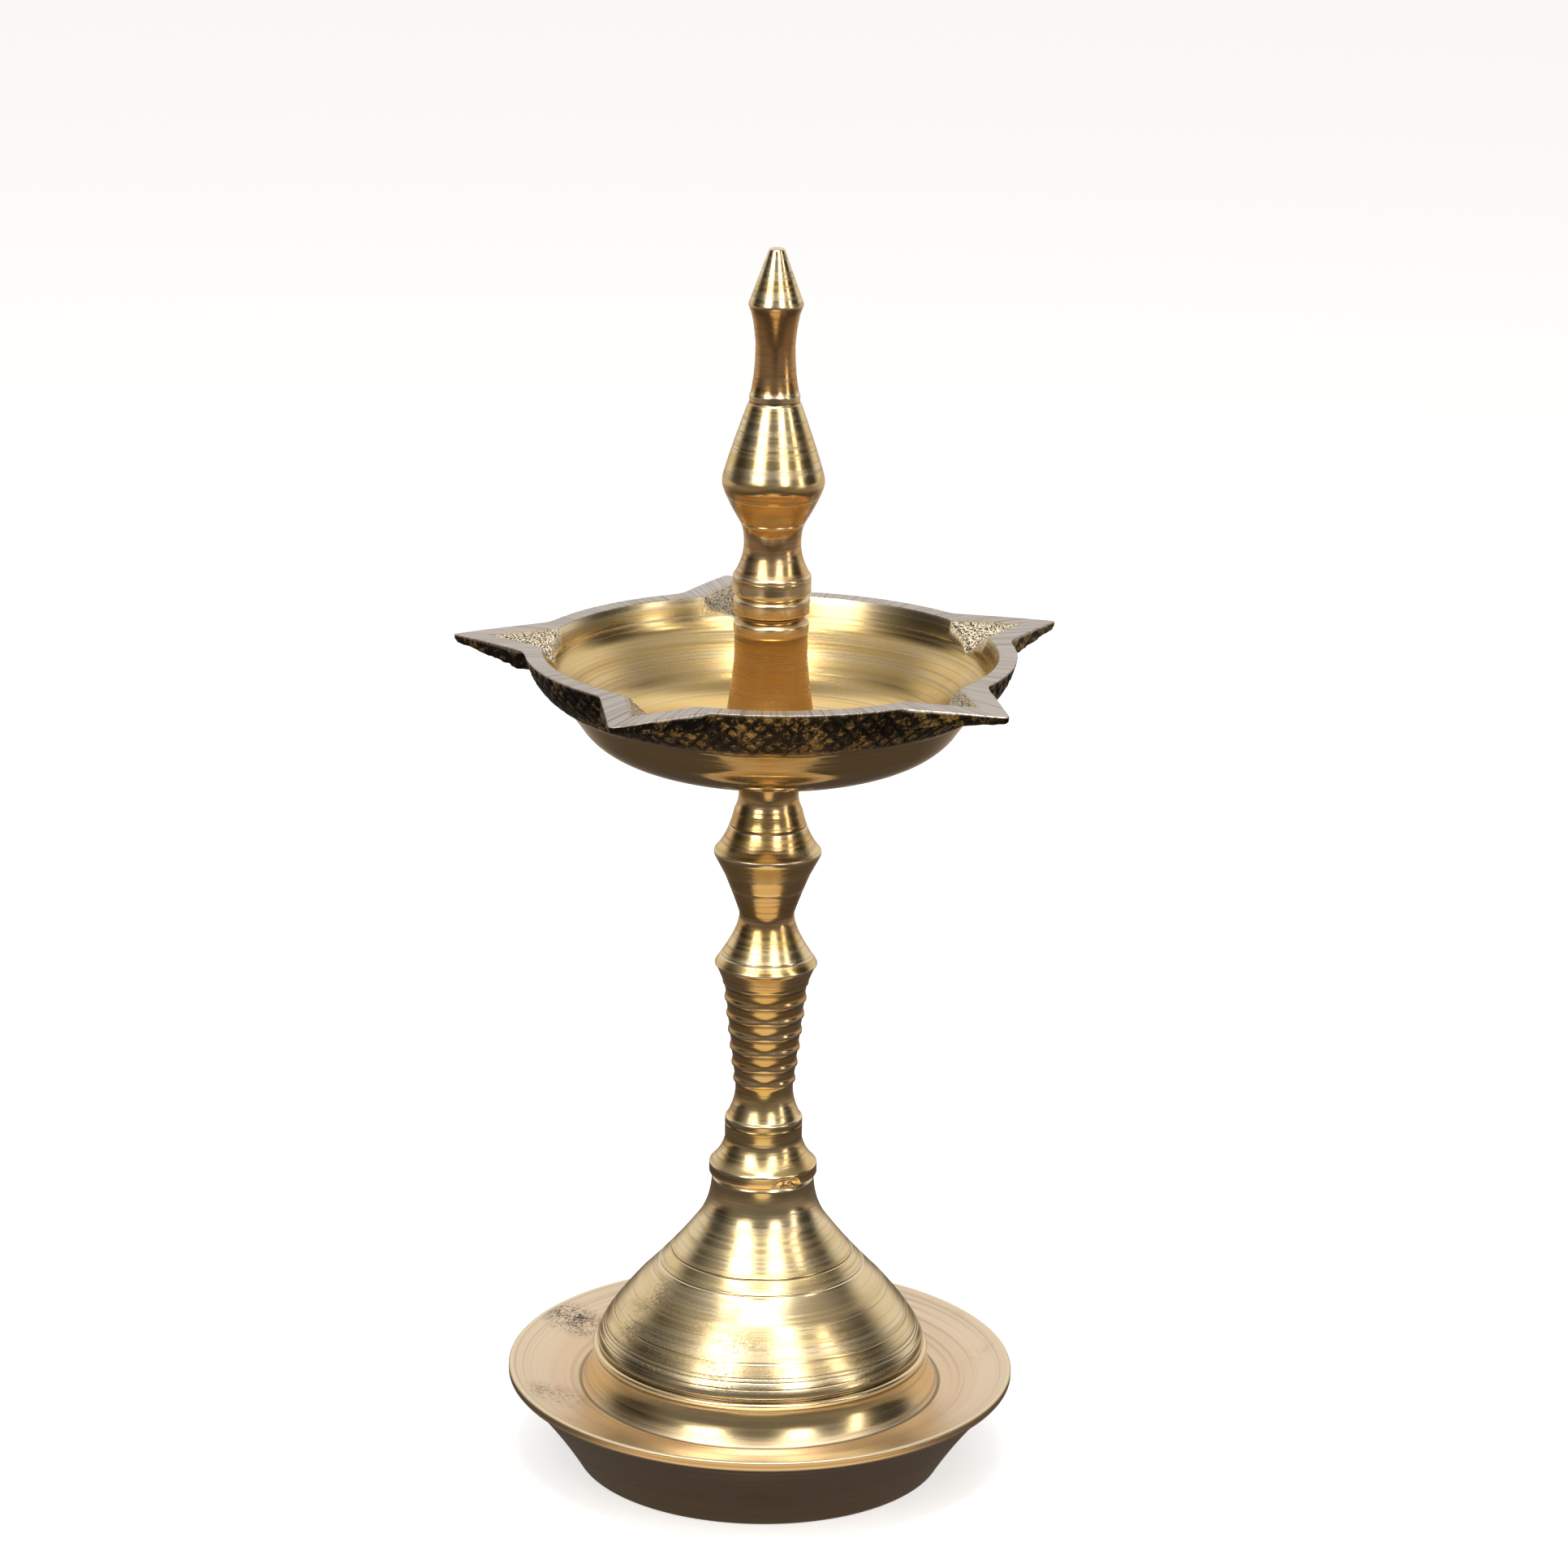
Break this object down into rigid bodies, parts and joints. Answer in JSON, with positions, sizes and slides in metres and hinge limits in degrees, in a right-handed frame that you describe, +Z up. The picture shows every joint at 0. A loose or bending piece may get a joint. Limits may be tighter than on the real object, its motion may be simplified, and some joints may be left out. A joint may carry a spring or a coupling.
{
  "type": "standing oil lamp",
  "caption": "Tall turned brass standing oil lamp: hollow domed base, ringed stem, round oil bowl with pointed wick spouts and a finial, all screwed together.",
  "frame": {"origin": "centre of the foot ring, on the table", "axes": "+Z up along the lamp axis; the front of the lamp faces -Y; +X to the right seen from the front"},
  "size_m": [0.1227, 0.1223, 0.254],
  "materials": {
    "base_brass": "lathe-polished, satin flange",
    "stem_brass": "lathe-polished",
    "bowl_brass": "lathe-turned inside, filed rim, as-cast dark band outside",
    "finial_brass": "lathe-polished",
    "stud_steel": "threaded rod"
  },
  "bodies": {
    "base_body": {"base": "base_brass"},
    "lower_stud_body": {"lower_stud": "stud_steel"},
    "stem_body": {"stem": "stem_brass"},
    "middle_stud_body": {"middle_stud": "stud_steel"},
    "bowl_body": {"bowl": "bowl_brass"},
    "top_stud_body": {"top_stud": "stud_steel"},
    "finial_body": {"finial": "finial_brass"}
  },
  "joints": [
    {"name": "stem_turn", "type": "hinge", "parent": "base_body", "child": "lower_stud_body", "pos_m": [0, 0, 0.0618], "axis": [0, 0, 1], "range_deg": [0, 2521]},
    {"name": "stem_lift", "type": "slide", "parent": "lower_stud_body", "child": "stem_body", "axis": [0, 0, 1], "range_m": [0, 0.00875]},
    {"name": "bowl_turn", "type": "hinge", "parent": "stem_body", "child": "middle_stud_body", "pos_m": [0, 0, 0.149], "axis": [0, 0, 1], "range_deg": [0, 2521]},
    {"name": "bowl_lift", "type": "slide", "parent": "middle_stud_body", "child": "bowl_body", "axis": [0, 0, 1], "range_m": [0, 0.00875]},
    {"name": "finial_turn", "type": "hinge", "parent": "bowl_body", "child": "top_stud_body", "pos_m": [0, 0, 0.1843], "axis": [0, 0, 1], "range_deg": [0, 2521]},
    {"name": "finial_lift", "type": "slide", "parent": "top_stud_body", "child": "finial_body", "axis": [0, 0, 1], "range_m": [0, 0.00875]}
  ],
  "couplings": [
    {"joint": "stem_turn", "follows": "stem_lift", "rad_per_m": 5026.5},
    {"joint": "bowl_turn", "follows": "bowl_lift", "rad_per_m": 5026.5},
    {"joint": "finial_turn", "follows": "finial_lift", "rad_per_m": 5026.5}
  ]
}
